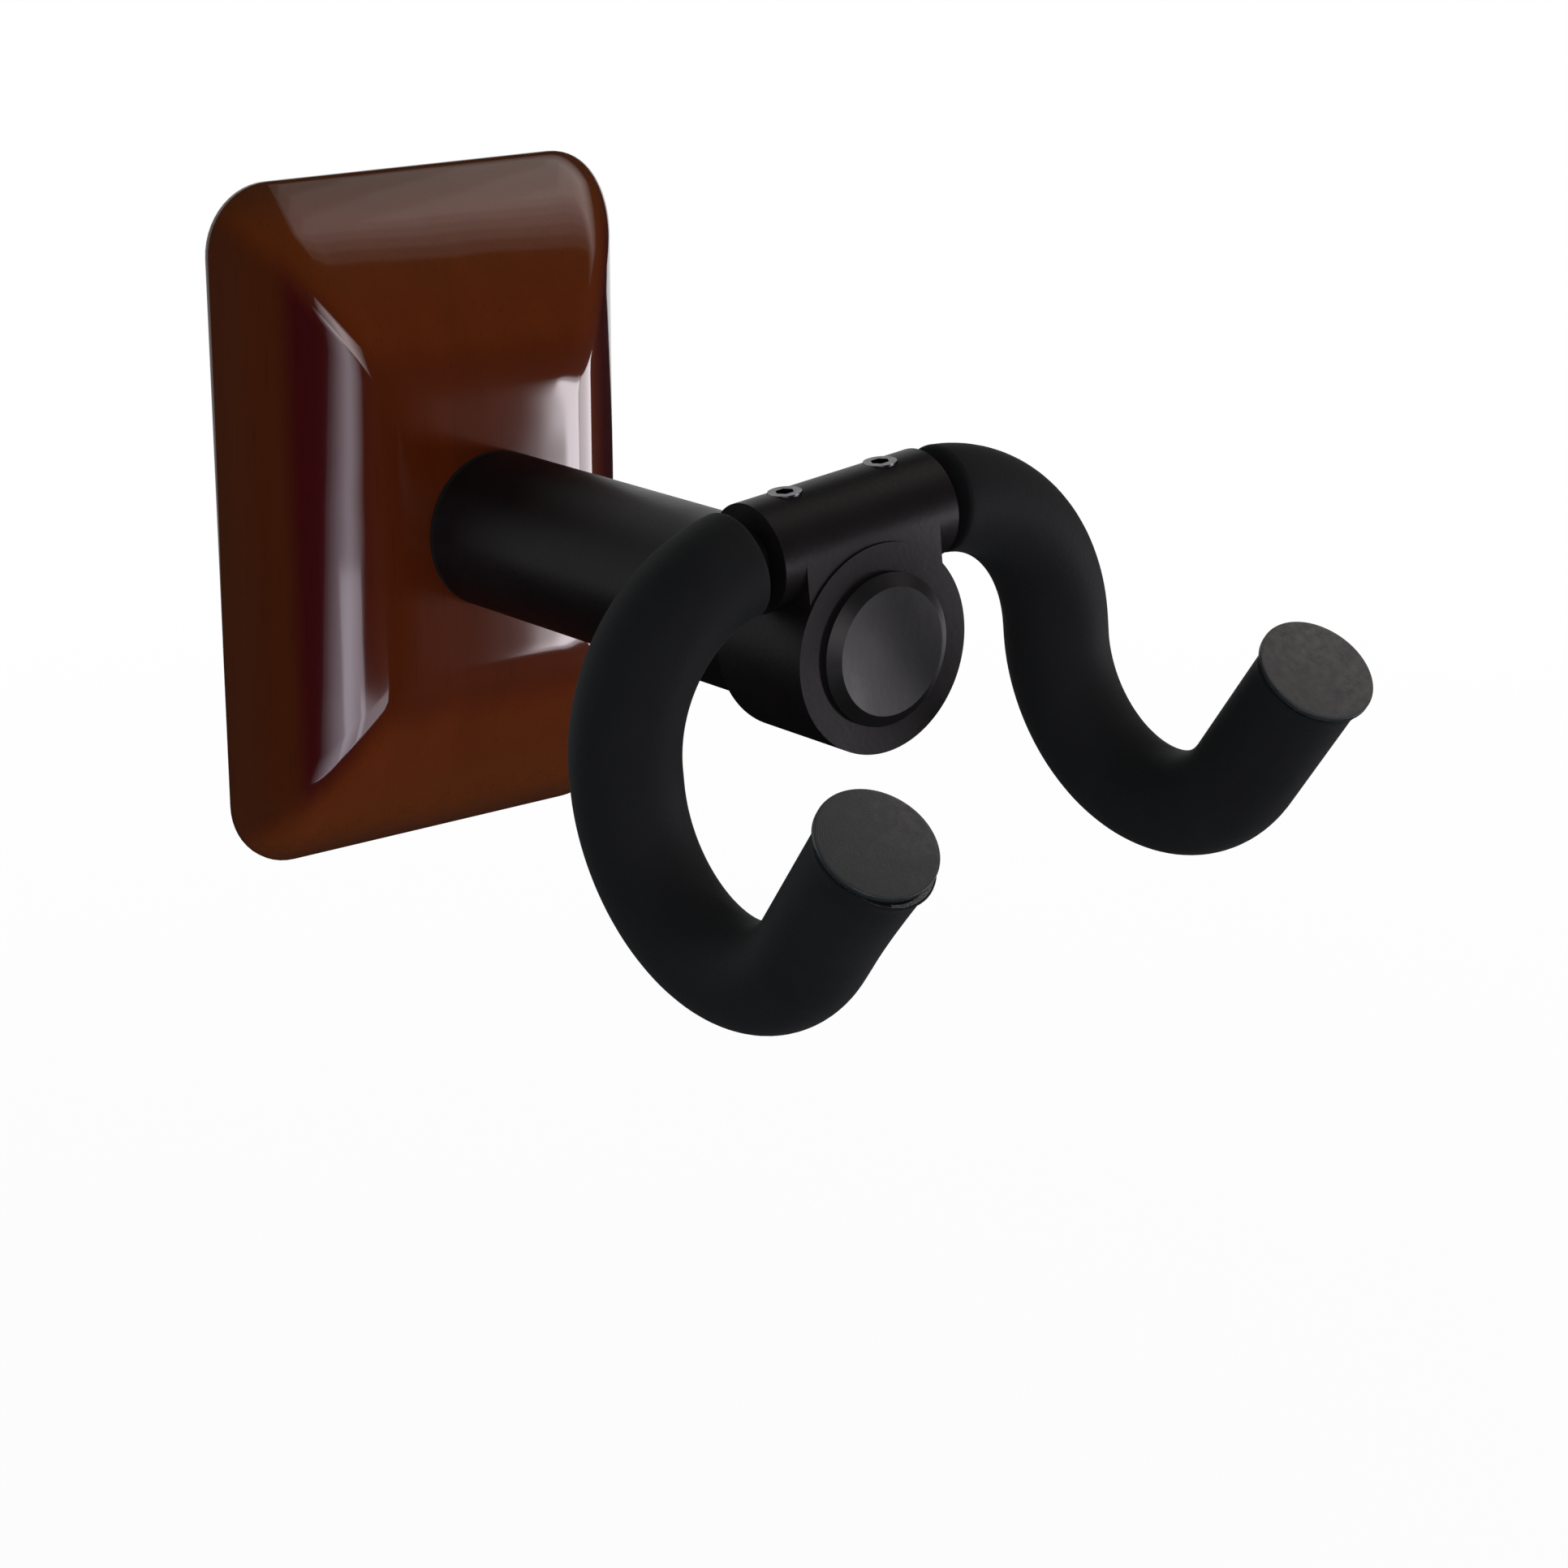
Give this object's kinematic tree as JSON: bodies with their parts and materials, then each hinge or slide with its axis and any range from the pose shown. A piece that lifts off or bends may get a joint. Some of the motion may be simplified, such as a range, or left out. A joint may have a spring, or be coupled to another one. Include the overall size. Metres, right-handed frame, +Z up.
{
  "type": "wall guitar hanger",
  "caption": "Wall hanger for a guitar: crowned wood block, round post and a swivelling U-shaped yoke with foam-covered hooks and rubber end caps.",
  "frame": {"origin": "centre of the wood block's back face, on the axis of the post, in the plane of the wall", "axes": "+Z up, +Y into the wall, so the hanger stands out towards -Y; +X to the right as seen from the room"},
  "size_m": [0.0813, 0.1368, 0.09],
  "materials": {
    "lacquered_wood": "red-brown stained hardwood under a thick gloss lacquer",
    "zinc_steel": "bright zinc plating",
    "screw_steel": "plain hardened steel",
    "gasket_rubber": "thin black fibre rubber",
    "black_satin_metal": "satin black powder coat",
    "washer_nylon": "natural nylon",
    "bushing_bronze": "oil-filled sintered bronze",
    "cover_plastic": "fine-textured black nylon",
    "black_rod_metal": "black oxide bent steel rod",
    "sleeve_foam": "matte closed-cell foam rubber with a smooth skin",
    "cap_rubber": "dark grey moulded rubber, faint turning marks on the face"
  },
  "bodies": {
    "wall_side": {"wood_block": "lacquered_wood", "wall_plate": "zinc_steel", "plate_screws": "screw_steel", "post_bolt": "screw_steel", "post_bolt_washer": "zinc_steel", "post_lock_washer": "screw_steel", "post_gasket": "gasket_rubber", "post_tube": "black_satin_metal", "rear_plug": "zinc_steel", "front_plug": "black_satin_metal", "thrust_washer": "washer_nylon", "stop_pin": "screw_steel", "pivot_screw": "screw_steel"},
    "yoke": {"pivot_bushing": "bushing_bronze", "wave_washer": "screw_steel", "yoke_hub": "black_satin_metal", "hub_cap": "cover_plastic", "yoke_rod": "black_rod_metal", "rod_grub_screws": "screw_steel", "left_foam_sleeve": "sleeve_foam", "right_foam_sleeve": "sleeve_foam", "left_end_cap": "cap_rubber", "right_end_cap": "cap_rubber"}
  },
  "joints": [
    {"name": "yoke_swivel", "type": "hinge", "parent": "wall_side", "child": "yoke", "pos_m": [0, -0.088, 0], "axis": [0, -1, 0], "range_deg": [-31, 19]}
  ]
}
